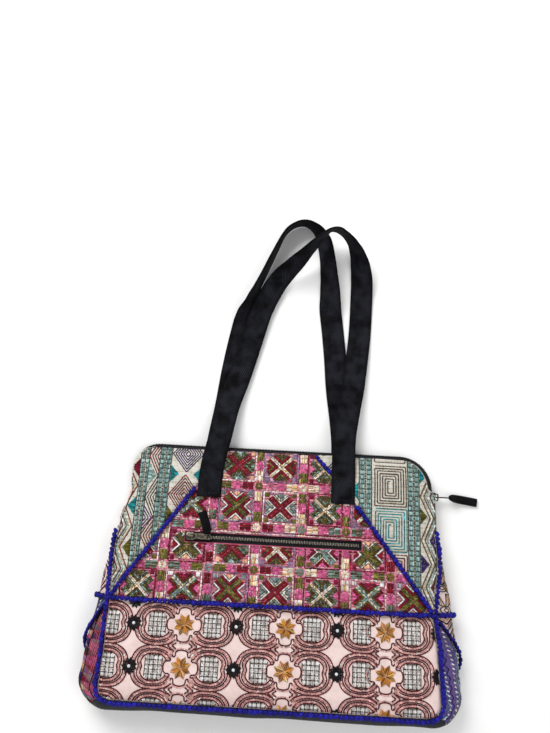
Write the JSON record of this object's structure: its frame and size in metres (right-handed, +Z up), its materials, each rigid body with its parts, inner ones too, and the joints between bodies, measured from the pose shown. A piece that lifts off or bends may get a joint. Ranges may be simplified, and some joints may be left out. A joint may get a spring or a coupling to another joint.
{
  "type": "convertible backpack",
  "caption": "Patchwork cloth convertible backpack lying on its back, with a zipped top, a zipped front pocket, braided seams and long webbing straps.",
  "frame": {"origin": "on the floor under the middle of the back panel, which the bag lies on", "axes": "+Z up out of the front, +Y from the base towards the straps, +X to the right seen from the front"},
  "size_m": [0.4351, 0.574, 0.053],
  "materials": {
    "pink_cotton": "embroidered cotton",
    "linen": "embroidered plain weave",
    "band_cotton": "embroidered cotton",
    "black_cotton": "matt twill and webbing",
    "blue_braid": "twisted yarn",
    "antique_brass": "antiqued"
  },
  "bodies": {
    "bag": {"front_centre": "pink_cotton", "front_corner_left": "linen", "front_corner_right": "linen", "front_band": "band_cotton", "back_panel": "black_cotton", "gusset_left_upper": "band_cotton", "gusset_left_front": "pink_cotton", "gusset_left_back": "linen", "gusset_right_upper": "band_cotton", "gusset_right_front": "pink_cotton", "gusset_right_back": "linen", "base_panel": "black_cotton", "braid_left": "blue_braid", "braid_right_upper": "blue_braid", "braid_right_lower": "blue_braid", "braid_cross": "blue_braid", "braid_side_right": "blue_braid", "braid_side_left": "blue_braid", "braid_bottom": "blue_braid", "braid_gusset_left": "blue_braid", "braid_gusset_right": "blue_braid", "braid_slant_left": "blue_braid", "braid_slant_right": "blue_braid", "zip_chain": "antique_brass", "zip_tape_front": "black_cotton", "zip_tape_back": "black_cotton", "top_slider": "antique_brass", "pocket_tape": "black_cotton", "pocket_chain": "antique_brass", "pocket_slider": "antique_brass", "strap_front": "black_cotton", "strap_back": "black_cotton"},
    "top_pull": {"top_puller": "antique_brass", "top_pull_tab": "black_cotton"},
    "pocket_pull": {"pocket_puller": "antique_brass", "pocket_pull_tab": "black_cotton"}
  },
  "joints": [
    {"name": "top_pull_swing", "type": "hinge", "parent": "bag", "child": "top_pull", "pos_m": [0.18272, 0.0983, 0.009], "axis": [0, 0, 1], "range_deg": [-75, 75]},
    {"name": "pocket_pull_swing", "type": "hinge", "parent": "bag", "child": "pocket_pull", "pos_m": [-0.09302, 0.04088, 0.03172], "axis": [0, -0.9955, 0.0951], "range_deg": [0, 165]}
  ]
}
